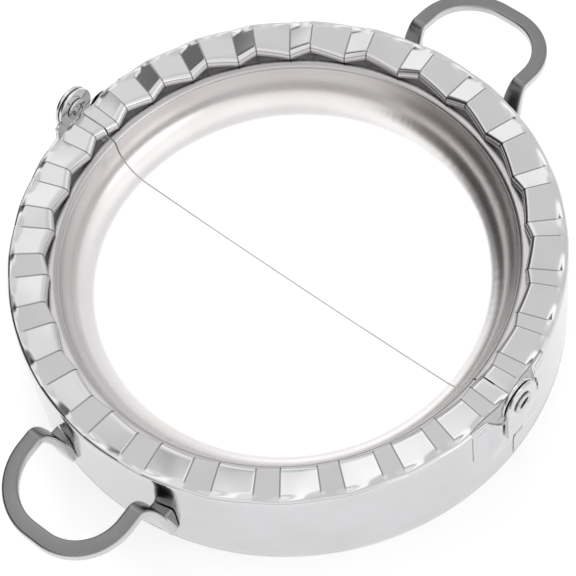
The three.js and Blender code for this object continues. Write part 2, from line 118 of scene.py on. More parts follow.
class Bench:
    """Adds nodes to one shader or geometry node tree."""

    def __init__(self, tree: bpy.types.NodeTree) -> None:
        """Keeps the tree that gets the nodes."""
        self.tree = tree

    def node(
        self, kind: str, sockets: dict[str | int, Any] | None = None, **settings: str
    ) -> bpy.types.Node:
        """Adds a node.

        Args:
            kind: The node's type name.
            sockets: Values or wires of its inputs, by name or by place.
            **settings: Properties of the node, set before its sockets.

        Returns:
            The new node.
        """
        made = self.tree.nodes.new(kind)
        for name, value in settings.items():
            setattr(made, name, value)
        for key, value in (sockets or {}).items():
            target = made.inputs[key]
            if isinstance(value, Wire):
                self.tree.links.new(value.socket, target)
            else:
                target.default_value = value
        return made

    def wire(self, node: bpy.types.Node, output: str | int = 0) -> Wire:
        """A wire from one of a node's outputs."""
        return Wire(self, node.outputs[output])

    def add(
        self,
        kind: str,
        sockets: dict[str | int, Any] | None = None,
        output: str | int = 0,
        **settings: str,
    ) -> Wire:
        """Adds a node, as node() does, and gives the wire of one of its outputs."""
        return self.wire(self.node(kind, sockets, **settings), output)

    def math(self, operation: str, *values: Value) -> Wire:
        """Adds a Math node that works on one to three wires or numbers."""
        return self.add("ShaderNodeMath", dict(enumerate(values)), operation=operation)

    def dot(self, vector: Wire, other: Vector) -> Wire:
        """Adds the scalar product of a vector wire and a fixed vector."""
        sockets = {0: vector, 1: other}
        return self.add("ShaderNodeVectorMath", sockets, "Value", operation="DOT_PRODUCT")

    def blend(self, share: Value, first: Colour, second: Colour) -> Wire:
        """Adds a mix of two colours.

        Args:
            share: Share of the second colour.
            first: Colour or wire at 0.
            second: Colour or wire at 1.

        Returns:
            The mixed colour's wire.
        """
        ends = [c if isinstance(c, Wire) else (*c, 1.0) for c in (first, second)]
        sockets = {0: share, 6: ends[0], 7: ends[1]}
        return self.add("ShaderNodeMix", sockets, 2, data_type="RGBA")

    def smooth(self, value: Value, low: Value, high: Value) -> Wire:
        """Smooth step of a value, from 0 at the low end to 1 at the high end."""
        sockets = {"Value": value, "From Min": low, "From Max": high}
        return self.add("ShaderNodeMapRange", sockets, interpolation_type="SMOOTHSTEP")

    def axes(self, place: Wire) -> tuple[Wire, Wire, Wire]:
        """Wires of a place's x, y and z."""
        parts = self.node("ShaderNodeSeparateXYZ", {0: place})
        return self.wire(parts, 0), self.wire(parts, 1), self.wire(parts, 2)

    def length(self, x: Wire, y: Wire) -> Wire:
        """Length of a level vector."""
        return self.math("SQRT", x * x + y * y)

    def half_turn_angle(self, x: Wire, y: Wire) -> Wire:
        """Angle from the hinge line, the same for a place and for its half turn about Z."""
        side = self.math("SIGN", y)
        return self.math("ARCTAN2", y * side, x * side)

    def noise(self, place: Wire, scale: float, detail: float) -> Wire:
        """Noise round 0.5 over a place, with so many cells per unit and octaves of detail."""
        sockets = {"Vector": place, "Scale": scale, "Detail": detail, "Roughness": NOISE_ROUGHNESS}
        return self.add("ShaderNodeTexNoise", sockets, noise_dimensions="3D")

    def stretched_noise(self, *spots: Wire) -> Wire:
        """Noise over a place whose x, y and z are given in cells."""
        return self.noise(self.add("ShaderNodeCombineXYZ", dict(enumerate(spots))), 1.0, 2.0)


# Sizes that several pieces share


@dataclass(frozen=True)
class PressSizes:
    """Sizes of the ring and the hinge that more than one piece is built on."""

    ring_radius: float = 47.5 * MM
    rim_height: float = 21.0 * MM
    sheet: float = 0.6 * MM
    meeting_gap: float = 0.3 * MM
    closed_gap: float = 0.8 * MM
    crimp_width: float = 6.7 * MM
    inner_bend: float = 1.0 * MM
    inner_lip_depth: float = 1.8 * MM
    outer_bend: float = 0.7 * MM
    lip_zigzag: float = 0.45 * MM
    flutes: int = 14
    flute_rise: float = 0.6 * MM
    wide_share: float = 0.62
    swell_share: float = 0.14
    ear_standoff: float = 0.4 * MM
    ear_gap: float = 0.3 * MM
    rivet_tube: float = 1.5 * MM

    @property
    def pivot_height(self) -> float:
        """Height of the hinge axis."""
        return self.rim_height + self.closed_gap / 2

    @property
    def inner_ear_face(self) -> float:
        """Outer face of the inner ear, from the middle of the press."""
        return self.ring_radius + self.ear_standoff + self.sheet

    @property
    def outer_ear_face(self) -> float:
        """Outer face of the outer ear, from the middle of the press."""
        return self.inner_ear_face + self.ear_gap + self.sheet


# Meshes

Outline = np.ndarray  # rows of radius and height


def smooth_steps(shares: np.ndarray) -> np.ndarray:
    """Smooth step from 0 to 1 of each share."""
    held = np.clip(shares, 0.0, 1.0)
    return held * held * (3 - 2 * held)


def arc(centre: Pair, radius: float, start: float, end: float, steps: int) -> list[Pair]:
    """Points of an arc, both ends included.

    Args:
        centre: Middle of the arc.
        radius: Its radius.
        start: First angle, in degrees.
        end: Last angle, in degrees.
        steps: Number of steps between them.

    Returns:
        The points.
    """
    angles = np.radians(np.linspace(start, end, steps + 1))
    return [(centre[0] + radius * math.cos(a), centre[1] + radius * math.sin(a)) for a in angles]


def sheet_outline(path: Sequence[Pair], thickness: float, round_share: float) -> Outline:
    """Closed outline of a sheet of even thickness along a path, with rounded ends.

    Args:
        path: Middle line of the sheet, as radius and height.
        thickness: The sheet's thickness.
        round_share: Share of half the thickness by which its end edges are rounded.

    Returns:
        The outline, first along the path's right side and then back along its left.
    """
    line = np.array(path, float)
    steps = np.diff(line, axis=0)
    steps /= np.linalg.norm(steps, axis=1)[:, None]
    incoming = np.vstack([steps[:1], steps])
    outgoing = np.vstack([steps, steps[-1:]])
    along = incoming + outgoing
    along /= np.linalg.norm(along, axis=1)[:, None]
    mitre = (thickness / 2) / np.sum(along * incoming, axis=1)
    side = np.stack([along[:, 1], -along[:, 0]], axis=1) * mitre[:, None]
    right, left = line + side, (line - side)[::-1]
    edge = thickness / 2 * round_share
    start, end = steps[0], steps[-1]
    across_end = (left[0] - right[-1]) / thickness
    across_start = (right[0] - left[-1]) / thickness
    corners = [
        (right[-1], end, across_end),
        (left[0], across_end, -end),
        (left[-1], -start, across_start),
        (right[0], across_start, start),
    ]
    rounded = []
    for corner, before, after in corners:
        centre = corner - before * edge + after * edge
        rounded.append(np.array([
            centre - after * edge * math.cos(t) + before * edge * math.sin(t)
            for t in np.linspace(0, math.pi / 2, 3)
        ]))
    return np.vstack([right[1:-1], rounded[0], rounded[1], left[1:-1], rounded[2], rounded[3]])


def swept_faces(sections: int, rows: int) -> list[Sequence[int]]:
    """Faces between closed sections that follow each other, with both ends closed.

    Args:
        sections: Number of sections.
        rows: Vertices of each section.

    Returns:
        Vertex numbers of each face.
    """
    faces: list[Sequence[int]] = []
    for i in range(sections - 1):
        a, b = i * rows, (i + 1) * rows
        faces += [(a + j, a + (j + 1) % rows, b + (j + 1) % rows, b + j) for j in range(rows)]
    last = (sections - 1) * rows
    return faces + [tuple(range(rows - 1, -1, -1)), tuple(range(last, last + rows))]


def linked_object(name: str, data: bpy.types.ID) -> Piece:
    """Makes an object in the scene that shows some mesh, camera or lamp data.

    Args:
        name: The object's name.
        data: What it shows.

    Returns:
        The new object.
    """
    made = bpy.data.objects.new(name, data)
    bpy.context.scene.collection.objects.link(made)
    return made


def mesh_object(name: str, vertices: np.ndarray, faces: Iterable[Sequence[int]]) -> Piece:
    """Makes a mesh object in the scene, with clean outward faces.

    Args:
        name: The object's name.
        vertices: Rows of x, y and z.
        faces: Vertex numbers of each face.

    Returns:
        The new object.
    """
    mesh = bpy.data.meshes.new(name)
    mesh.from_pydata([tuple(v) for v in vertices], [], [tuple(f) for f in faces])
    made = linked_object(name, mesh)
    tidy_mesh(made)
    return made


def tidy_mesh(piece: Piece, merge: float = MERGE) -> None:
    """Merges doubles, drops faces without area and turns the faces outwards.

    Args:
        piece: The object whose mesh is tidied.
        merge: Distance below which vertices are one.
    """
    work = bmesh.new()
    work.from_mesh(piece.data)
    bmesh.ops.remove_doubles(work, verts=work.verts, dist=merge)
    bmesh.ops.dissolve_degenerate(work, edges=work.edges, dist=merge)
    bmesh.ops.recalc_face_normals(work, faces=work.faces)
    work.to_mesh(piece.data)
    work.free()


def evaluated_copy(piece: Piece) -> bpy.types.Mesh:
    """Carries out an object's modifiers in a copy of its mesh.

    Args:
        piece: The object.

    Returns:
        The new mesh.
    """
    bpy.context.view_layer.update()
    graph = bpy.context.evaluated_depsgraph_get()
    return bpy.data.meshes.new_from_object(piece.evaluated_get(graph), depsgraph=graph)


def settle(piece: Piece) -> None:
    """Replaces an object's mesh by the result of its modifiers, and removes them.

    Args:
        piece: The object.
    """
    made = evaluated_copy(piece)
    piece.modifiers.clear()
    old, piece.data = piece.data, made
    bpy.data.meshes.remove(old)


class Cut(Enum):
    """Ways in which a tool body acts on a piece."""

    TAKE = "DIFFERENCE"
    JOIN = "UNION"


def combine(piece: Piece, tool: Piece, cut: Cut) -> None:
    """Cuts a tool body out of a piece, or joins it on, and deletes the tool.

    Args:
        piece: The object that is changed.
        tool: The other closed body.
        cut: What is done with it.
    """
    step = piece.modifiers.new("combine", "BOOLEAN")
    step.operation = cut.value
    step.solver = "MANIFOLD"
    step.object = tool
    settle(piece)
    bpy.data.objects.remove(tool, do_unlink=True)


def prism(name: str, outline: Sequence[Pair], low: float, high: float) -> Piece:
    """A body of even section along Z.

    Args:
        name: The object's name.
        outline: Its section, as x and y.
        low: Height of its foot.
        high: Height of its top.

    Returns:
        The new object.
    """
    count = len(outline)
    vertices = np.array([(x, y, z) for z in (low, high) for x, y in outline])
    faces: list[Sequence[int]] = [tuple(range(count - 1, -1, -1)), tuple(range(count, 2 * count))]
    faces += [(i, (i + 1) % count, count + (i + 1) % count, count + i) for i in range(count)]
    return mesh_object(name, vertices, faces)


def across_x(body: Piece) -> Piece:
    """Lays a prism along X, so that its section's x and y become Y and Z."""
    body.data.transform(Matrix(((0, 0, 1, 0), (1, 0, 0, 0), (0, 1, 0, 0), (0, 0, 0, 1))))
    return body


def lathe_x(name: str, outline: Outline, x: float, height: float, steps: int) -> Piece:
    """Turns an outline of radius and distance round a level axis along X.

    Args:
        name: The object's name.
        outline: Closed outline; its second column runs along X.
        x: Where that column starts.
        height: Height of the axis.
        steps: Steps round the axis.

    Returns:
        The new object.
    """
    turns = np.linspace(0, 2 * math.pi, steps, endpoint=False)
    rows = len(outline)
    vertices = np.array([
        (x + d, r * math.cos(t), height + r * math.sin(t)) for t in turns for r, d in outline
    ])
    faces = []
    for i in range(steps):
        a, b = i * rows, (i + 1) % steps * rows
        for j in range(rows):
            k = (j + 1) % rows
            faces.append((a + j, b + j, b + k, a + k))
    return mesh_object(name, vertices, faces)


def smooth_faces(piece: Piece, crease_degrees: float) -> None:
    """Shades a piece smooth except over sharp edges.

    Args:
        piece: The piece.
        crease_degrees: Angle above which an edge is sharp.
    """
    for face in piece.data.polygons:
        face.use_smooth = True
    piece.data.set_sharp_from_angle(angle=math.radians(crease_degrees))


def turned_copy(piece: Piece, name: str) -> Piece:
    """A copy of a piece, turned half a turn about Z in its mesh.

    Args:
        piece: The rear half's piece.
        name: The copy's name.

    Returns:
        The front half's piece.
    """
    mesh = piece.data.copy()
    mesh.transform(Matrix.Rotation(math.pi, 4, "Z"))
    return linked_object(name, mesh)


# Finishes


class Grain(Enum):
    """How the last working of a surface left its finest lines.

    A value holds their cells per metre along x, y and z; turned lines have cells per metre
    of radius, per radian and per metre of height.
    """

    TURNED = (9000.0, 6.0, 5200.0)
    DRAWN = (2600.0, 320.0, 2600.0)
    TUMBLED = (900.0, 900.0, 900.0)


def new_material(name: str) -> tuple[bpy.types.Material, Bench]:
    """Makes a material with an empty node tree.

    Args:
        name: The material's name.

    Returns:
        The material and the bench of its tree.
    """
    made = bpy.data.materials.new(name)
    made.use_nodes = True
    made.node_tree.nodes.clear()
    return made, Bench(made.node_tree)


@dataclass(frozen=True)
class SteelFinish:
    """Stainless steel with fine working lines, a soft cloudiness and uneven sheen.

    Scales are in cells per metre, and shares are of the roughness's spread.
    """

    name: str
    slot: str
    colour: Triple
    cloud_colour: Triple
    roughness: float
    roughness_spread: float
    grain: Grain
    grain_depth: float
    wave_depth: float
    wave_scale: float = 110.0
    cloud_scale: float = 90.0
    cloud_range: Pair = (0.35, 0.75)  # of the noise, from the plain to the cloud colour
    speck_scale: float = 1400.0
    speck_height: float = 0.5  # of the working lines' height
    line_share: float = 0.5
    speck_share: float = 0.35

    def material(self) -> bpy.types.Material:
        """Builds the node material.

        Returns:
            The material.
        """
        made, bench = new_material(self.name)
        place = bench.add("ShaderNodeTexCoord", output="Object")
        lines = self._lines(bench, place)
        clouds = bench.noise(place, self.cloud_scale, 3.0)
        specks = bench.noise(place, self.speck_scale, 2.0)
        cloudy = bench.smooth(clouds, *self.cloud_range)
        colour = bench.blend(cloudy, self.colour, self.cloud_colour)
        spread = self.roughness_spread
        sheen = self.roughness + (clouds - 0.5) * spread
        sheen = sheen + (lines - 0.5) * (spread * self.line_share)
        sheen = sheen + (specks - 0.5) * (spread * self.speck_share)
        soft = self._bump(bench, self.wave_depth, {"Height": self._waves(bench, place)})
        height = lines + specks * self.speck_height
        fine = self._bump(bench, self.grain_depth, {"Height": height, "Normal": soft})
        steel = {
            # Base colour carries each finish's painted shade
            "Base Color": self._painted_shade(bench, place, colour),
            "Metallic": 1.0,
            "Roughness": sheen,
            "Normal": fine,
        }
        surface = bench.add("ShaderNodeBsdfPrincipled", steel)
        bench.node("ShaderNodeOutputMaterial", {"Surface": surface})
        return made

    @staticmethod
    def _bump(bench: Bench, distance: float, sockets: dict[str, Wire]) -> Wire:
        """Normal bent at full strength by a height of some depth."""
        return bench.add("ShaderNodeBump", {"Strength": 1.0, "Distance": distance, **sockets})

    def _painted_shade(self, bench: Bench, place: Wire, colour: Wire) -> Wire:
        """The colour with the finish's painted shade; plain steel has none and keeps it as it is.
        """
        return colour

    def _waves(self, bench: Bench, place: Wire) -> Wire:
        """Height of the shallow waves that forming left in the surface."""
        return bench.noise(place, self.wave_scale, 1.0)

    def _lines(self, bench: Bench, place: Wire) -> Wire:
        """Fine working lines of the surface.

        Args:
            bench: The tree's bench.
            place: Object coordinates.

        Returns:
            The lines' height, round 0.5.
        """
        x, y, z = bench.axes(place)
        if self.grain is Grain.TURNED:
            x, y = bench.length(x, y), bench.math("ARCTAN2", y, x)
        cells = self.grain.value
        return bench.stretched_noise(x * cells[0], y * cells[1], z * cells[2])


@dataclass(frozen=True)
class FlutedSteel(SteelFinish):
    """Polished steel with painted shade lines in the creases of its flutes, in place of the dark
    reflections there.
    """

    sizes: PressSizes = PressSizes()
    painted_crease_shade: Triple = (0.22, 0.22, 0.22)
    crease_width: float = 0.2 * MM
    crease_core: float = 0.25  # of the width, at full strength
    crease_fade: float = 1.2 * MM  # from the band's inside to where creases start to fade
    crease_end: float = 0.4 * MM  # from there to where they end

    def _painted_shade(self, bench: Bench, place: Wire, colour: Wire) -> Wire:
        """Paints shade into the creases between the facets.

        Args:
            bench: The tree's bench.
            place: Object coordinates.
            colour: The steel's colour.

        Returns:
            The colour with its painted crease shade.
        """
        s = self.sizes
        x, y, _ = bench.axes(place)
        angle = even = bench.half_turn_angle(x, y)
        for _ in range(3):
            even = angle + bench.math("SINE", even * 2.0) * (s.swell_share / 2)
        pitch = even * (s.flutes / math.pi)
        radius = bench.length(x, y)
        off = abs(abs(pitch - bench.math("ROUND", pitch)) - s.wide_share / 2)
        off = off * radius * (math.pi / s.flutes)
        # painted shade: darkens thin lines along the flutes' creases
        crease_shade = 1 - bench.smooth(off, self.crease_width * self.crease_core, self.crease_width)
        wall = s.ring_radius - s.sheet
        pressed = 1 - bench.smooth(radius, wall - self.crease_fade, wall - self.crease_end)
        return bench.blend(crease_shade * pressed, colour, self.painted_crease_shade)


@dataclass(frozen=True)
class DrawnBowlSteel(SteelFinish):
    """Steel drawn to a bowl, with short streaks down its wall and painted shade on its steep wall
    and rim.
    """

    wave_scale: float = 70.0
    streaks_per_turn: float = 200.0
    streak_depth_share: float = 0.3
    streak_length: float = 5.0 * MM
    wall_start: float = 31.0 * MM
    rim_start: float = 39.6 * MM
    rim_fade: float = 0.4 * MM
    painted_wall_shade: float = 0.24
    painted_rim_shade: float = 0.2

    def _painted_shade(self, bench: Bench, place: Wire, colour: Wire) -> Wire:
        """Paints shade on the steep wall and the rim, darkening them in place of the dark
        reflections there.

        Args:
            bench: The tree's bench.
            place: Object coordinates.
            colour: The steel's colour.

        Returns:
            The colour with painted shade on its wall and rim.
        """
        x, y, _ = bench.axes(place)
        radius = bench.length(x, y)
        on_wall = bench.smooth(radius, self.wall_start + self.streak_length, self.rim_start)
        on_rim = bench.smooth(radius, self.rim_start - self.rim_fade, self.rim_start)
        # painted shade: the steep wall and the rim are darkened towards black
        return bench.blend(on_wall * self.painted_wall_shade + on_rim * self.painted_rim_shade, colour, BLACK)

    def _waves(self, bench: Bench, place: Wire) -> Wire:
        """Adds the streaks that drawing left across the round of the wall.

        Args:
            bench: The tree's bench.
            place: Object coordinates.

        Returns:
            The height of waves and streaks.
        """
        x, y, z = bench.axes(place)
        radius = bench.length(x, y)
        streaks = bench.stretched_noise(
            bench.half_turn_angle(x, y) * (self.streaks_per_turn / (2 * math.pi)),
            radius / self.streak_length,
            z / self.streak_length,
        )
        on_wall = bench.smooth(radius, self.wall_start, self.wall_start + self.streak_length)
        return super()._waves(bench, place) + streaks * on_wall * self.streak_depth_share


@dataclass(frozen=True)
class TopShadedBarSteel(SteelFinish):
    """Bar steel with painted shade on its broad top, darker than its sides in place of the darker
    reflection there.
    """

    painted_top_shade: float = 0.63
    top_start: float = 0.05 * MM

    def _painted_shade(self, bench: Bench, place: Wire, colour: Wire) -> Wire:
        """Paints shade on the top of the bar.

        Args:
            bench: The tree's bench.
            place: Object coordinates.
            colour: The steel's colour.

        Returns:
            The colour with its painted top shade.
        """
        bar = LoopHandle(PressSizes())
        _, y, z = bench.axes(place)
        out = abs(y) - bar.sizes.ring_radius
        bent = bench.math("MAXIMUM", 1 - out / bar.neck_length, 0.0)
        slope = math.tan(math.radians(bar.droop_degrees))
        droop = bench.math("MAXIMUM", out - bar.level_length, 0.0) * slope
        level = bar.sizes.rim_height - bar.drop - droop - bent * bent * bar.neck_drop
        on_top = 1 - bench.smooth(level - z, self.top_start, bar.edge_radius)
        # painted shade: the bar's top is darkened towards black
        shaded = bench.blend(self.painted_top_shade, colour, BLACK)
        return bench.blend(on_top, colour, shaded)


@dataclass(frozen=True)
class Finishes:
    """The steel finishes of the press."""

    shell: SteelFinish = FlutedSteel(
        name="polished_shell_steel",
        slot="polished_steel",
        colour=(0.66, 0.66, 0.665),
        cloud_colour=(0.63, 0.625, 0.625),
        roughness=0.13,
        roughness_spread=0.07,
        grain=Grain.TURNED,
        grain_depth=0.002 * MM,
        wave_depth=0.1 * MM,
    )
    bowl: SteelFinish = DrawnBowlSteel(
        name="pressed_bowl_steel",
        slot="satin_steel",
        colour=(0.86, 0.84, 0.84),
        cloud_colour=(0.82, 0.79, 0.79),
        roughness=0.24,
        roughness_spread=0.08,
        grain=Grain.TURNED,
        grain_depth=0.003 * MM,
        wave_depth=0.09 * MM,
    )
    # the handle's top carries painted shade
    handle: SteelFinish = TopShadedBarSteel(
        name="tumbled_handle_steel",
        slot="handle_steel",
        colour=(0.64, 0.64, 0.64),
        cloud_colour=(0.58, 0.58, 0.58),
        roughness=0.26,
        roughness_spread=0.10,
        grain=Grain.TUMBLED,
        grain_depth=0.004 * MM,
        wave_depth=0.02 * MM,
    )
    rivet: SteelFinish = SteelFinish(
        name="rolled_rivet_steel",
        slot="rivet_steel",
        colour=(0.60, 0.60, 0.61),
        cloud_colour=(0.52, 0.52, 0.53),
        roughness=0.16,
        roughness_spread=0.08,
        grain=Grain.DRAWN,
        grain_depth=0.003 * MM,
        wave_depth=0.01 * MM,
    )


def dress(
    piece: Piece, material: bpy.types.Material, body: str, node: str
) -> None:
    """Gives a finished piece its material and its body, and hides the CAD node that it replaces.

    Args:
        piece: The finished piece.
        material: The finish's material.
        body: The CAD body that it rides on.
        node: The CAD node that it replaces.
    """
    piece.data.materials.clear()
    piece.data.materials.append(material)
    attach(piece, body)
    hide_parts(node)
    LOG.info("%s: %d faces, rides on %s", piece.name, len(piece.data.polygons), body)


# Pieces


@dataclass
class CrimpingShell:
    """The one-sheet shell of a half: band, fluted crimping face, slits and ears."""

    sizes: PressSizes
    ridge_softness: float = 0.16
    valley_softness: float = 0.08
    ridge_reach: float = 0.07  # of a pitch, where its sections stand closer
    valley_reach: float = 0.05
    band_top_drop: float = 1.2 * MM
    flute_fade: float = 2.6 * MM
    flute_runout: float = 0.9 * MM
    flute_edge_share: float = 0.35
    slit_length: float = 9.5 * MM
    slit_inset: float = 0.8 * MM
    neck_top_drop: float = 0.6 * MM
    ear_radius: float = 3.8 * MM
    ear_edge: float = 0.14 * MM
    ear_core: float = 0.2 * MM  # radius left open in the disc, inside the rivet's hole
    ear_proud: float = 0.02 * MM
    lap_depth: float = 8.2 * MM
    lap_corner: float = 1.0 * MM
    flare_length: float = 6.6 * MM
    flare_flat: float = 4.0 * MM
    flare_root: float = 5.0 * MM
    flare_full: float = 13.0 * MM
    inner_notch: Triple = (6.0 * MM, 3.2 * MM, 3.0 * MM)
    outer_notch: Triple = (5.2 * MM, 4.2 * MM, 1.0 * MM)
    seam_length: float = 8.2 * MM
    seam_width: float = 0.2 * MM
    seam_depth: float = 0.3 * MM
    neck_overlap: float = 0.8 * MM
    running_clearance: float = 0.1 * MM
    section_counts: tuple[int, ...] = (5, 9, 4, 9, 5)  # between the stops of a pitch
    edge_round: float = 0.55
    neck_edge_round: float = 0.4
    crease_degrees: float = 32.0

    def build(self, name: str) -> Piece:
        """Builds the rear half's shell.

        Args:
            name: The object's name.

        Returns:
            The finished object, with its outer ear at +X.
        """
        s = self.sizes
        shell = self._smooth_ring(name)
        self._press(shell)
        neck_top = s.rim_height - self.neck_top_drop
        ends = ((s.outer_ear_face, self.outer_notch), (-s.inner_ear_face, self.inner_notch))
        for face, notch in ends:
            side = math.copysign(1.0, face)
            combine(shell, self._slit(side), Cut.TAKE)
            neck = self._neck(side, neck_top)
            self._press(neck)
            combine(neck, self._notch(face, notch, neck_top + s.sheet), Cut.TAKE)
            combine(shell, self._notch(face, notch, self._band_top), Cut.TAKE)
            combine(shell, neck, Cut.JOIN)
        combine(shell, self._seam(), Cut.TAKE)
        combine(shell, self._lap(), Cut.JOIN)
        for face, _ in ends:
            combine(shell, self._ear(face), Cut.JOIN)
            combine(shell, self._hole(math.copysign(1.0, face)), Cut.TAKE)
        tidy_mesh(shell, 2 * MERGE)
        smooth_faces(shell, self.crease_degrees)
        return shell

    @property
    def _band_top(self) -> float:
        """Height of the band's upper edge."""
        return self.sizes.rim_height - self.band_top_drop

    def _path(self) -> list[Pair]:
        """Middle line of the sheet, from the cutting edge to the end of the inner lip.

        Returns:
            Its points, as radius and height.
        """
        s = self.sizes
        outer = s.ring_radius - s.sheet / 2
        inner = s.ring_radius - s.crimp_width + s.sheet / 2
        outer_bend = s.outer_bend - s.sheet / 2
        inner_bend = s.inner_bend - s.sheet / 2
        top = s.rim_height
        outer_bend_foot, inner_bend_foot = top - s.outer_bend, top - s.inner_bend
        path = [(outer, z) for z in np.linspace(0.0, self.flare_root, 4)]
        path += [(outer, z) for z in np.linspace(self.flare_root, self.flare_full, 11)[1:]]
        path += [(outer, z) for z in np.linspace(self.flare_full, outer_bend_foot, 8)[1:-1]]
        path += arc((outer - outer_bend, outer_bend_foot), outer_bend, 0, 90, 6)
        face = np.linspace(outer - outer_bend, inner + inner_bend, 14)[1:-1]
        path += [(r, top - s.sheet / 2) for r in face]
        path += arc((inner + inner_bend, inner_bend_foot), inner_bend, 90, 180, 6)
        lip = np.linspace(inner_bend_foot, top - s.inner_lip_depth, 4)[1:]
        return path + [(inner, z) for z in lip]

    def _smooth_ring(self, name: str) -> Piece:
        """Sweeps the sheet's outline through half a turn, without its flutes.

        Args:
            name: The object's name.

        Returns:
            The object, whose vertices carry what the fluting tree reads.
        """
        s = self.sizes
        outline = sheet_outline(self._path(), s.sheet, self.edge_round)
        ridge = s.wide_share / 2
        valley = 1 - ridge
        stops = (
            0.0,
            ridge - self.ridge_reach,
            ridge + self.ridge_reach,
            valley - self.valley_reach,
            valley + self.valley_reach,
            1.0,
        )
        shares = np.concatenate([
            np.linspace(start, end, count)[:-1]
            for start, end, count in zip(stops, stops[1:], self.section_counts)
        ])
        pitches = np.concatenate([i + shares for i in range(s.flutes)] + [[float(s.flutes)]])
        radius, height = outline[:, 0], outline[:, 1]
        wall, bend_foot = s.ring_radius - s.sheet, s.rim_height - s.outer_bend
        fade = smooth_steps((height - (bend_foot - self.flute_fade)) / self.flute_fade)
        inside = smooth_steps((wall - radius) / self.flute_runout)
        fluted = self.flute_edge_share * fade
        on_face = radius < wall - HAIR
        fluted[on_face] += (1 - self.flute_edge_share) * inside[on_face]
        marks = {
            "fluted": fluted,
            "inwards": np.maximum(wall - radius, 0.0) / s.crimp_width,
            "banded": ((~on_face) & (height <= bend_foot + HAIR)).astype(float),
        }
        return self._swept(name, outline, pitches, marks)

    def _neck(self, side: float, top: float) -> Piece:
        """The band's raised top beside a slit, unpressed.

        Args:
            side: 1 for the +X end and -1 for the other.
            top: Its height.

        Returns:
            The object, a hair thicker than the band that it is joined with.
        """
        s = self.sizes
        middle = s.ring_radius - s.sheet / 2
        path = [(middle, z) for z in np.linspace(self._band_top - self.neck_overlap, top, 5)]
        outline = sheet_outline(path, s.sheet + 2 * self.ear_proud, self.neck_edge_round)
        end = self._pitch_at(self.slit_length + self.neck_overlap / 4)
        pitches = np.linspace(0.0, end, 33)
        if side < 0:
            pitches = s.flutes - pitches[::-1]
        flat = np.zeros(len(outline))
        marks = {"fluted": flat, "inwards": flat, "banded": flat + 1}
        return self._swept("neck", outline, pitches, marks)

    def _pitch_at(self, distance: float) -> float:
        """Counts the pitches from the hinge line to a distance from it, by substitution.

        Args:
            distance: The distance from the hinge line.

        Returns:
            The number of pitches.
        """
        s = self.sizes
        angle = math.asin(distance / s.ring_radius)
        even = angle
        for _ in range(20):
            even = angle + s.swell_share / 2 * math.sin(2 * even)
        return even * s.flutes / math.pi

    @staticmethod
    def _swept(
        name: str, outline: Outline, pitches: np.ndarray, marks: dict[str, np.ndarray]
    ) -> Piece:
        """Sweeps an outline round part of the circle and marks its vertices for the pressing tree.

        Args:
            name: The object's name.
            outline: Closed outline of radius and height.
            pitches: Places of the sections, counted in flutes from the +X end.
            marks: Values of each outline point, by the name of their attribute.

        Returns:
            The closed object.
        """
        rows, columns = len(outline), len(pitches)
        radius = np.tile(outline[:, 0], columns)
        height = np.tile(outline[:, 1], columns)
        pitch = np.repeat(pitches, rows)
        vertices = np.stack([radius, pitch * MM, height], axis=1)
        mesh = bpy.data.meshes.new(name)
        mesh.from_pydata([tuple(v) for v in vertices], [], swept_faces(columns, rows))
        repeated = {mark: np.tile(values, columns) for mark, values in marks.items()}
        for mark, values in {"radius": radius, "pitch": pitch, **repeated}.items():
            layer = mesh.attributes.new(mark, "FLOAT", "POINT")
            layer.data.foreach_set("value", np.ascontiguousarray(values, np.float32))
        return linked_object(name, mesh)

    def _press(self, piece: Piece) -> None:
        """Rolls a swept piece round its circle and presses its flutes and flared ends.

        Args:
            piece: The swept piece, whose mesh is replaced by the pressed one.
        """
        s = self.sizes
        sizes = {
            "Flutes": float(s.flutes),
            "Flute rise": s.flute_rise,
            "Wide share": s.wide_share,
            "Ridge softness": self.ridge_softness,
            "Valley softness": self.valley_softness,
            "Pitch swell": s.swell_share,
            "Lip zigzag": s.lip_zigzag,
            "Half gap": s.meeting_gap / 2,
            "Ring radius": s.ring_radius,
            "Outer ear face": s.outer_ear_face,
            "Inner ear face": s.inner_ear_face,
            "Flare flat": self.flare_flat,
            "Flare length": self.flare_length,
            "Flare root": self.flare_root,
            "Flare full": self.flare_full,
        }
        tree = self._pressing_tree(list(sizes))
        step = piece.modifiers.new("pressing", "NODES")
        step.node_group = tree
        for item in tree.interface.items_tree:
            if item.in_out == "INPUT" and item.name in sizes:
                step[item.identifier] = sizes[item.name]
        settle(piece)
        tidy_mesh(piece)

    @staticmethod
    def _pressing_tree(names: Sequence[str]) -> bpy.types.NodeTree:
        """Builds the node tree that moves each vertex of the smooth ring.

        Args:
            names: Names of the size inputs.

        Returns:
            The tree.
        """
        tree = bpy.data.node_groups.new("shell_pressing", "GeometryNodeTree")
        face = tree.interface
        face.new_socket("Geometry", in_out="INPUT", socket_type="NodeSocketGeometry")
        for name in names:
            face.new_socket(name, in_out="INPUT", socket_type="NodeSocketFloat")
        face.new_socket("Geometry", in_out="OUTPUT", socket_type="NodeSocketGeometry")
        bench = Bench(tree)
        start = bench.node("NodeGroupInput")
        size = {name: bench.wire(start, name) for name in names}

        def mark(name: str) -> Wire:
            """Wire of a value that the ring's vertices carry."""
            kind = "GeometryNodeInputNamedAttribute"
            return bench.add(kind, {"Name": name}, data_type="FLOAT")

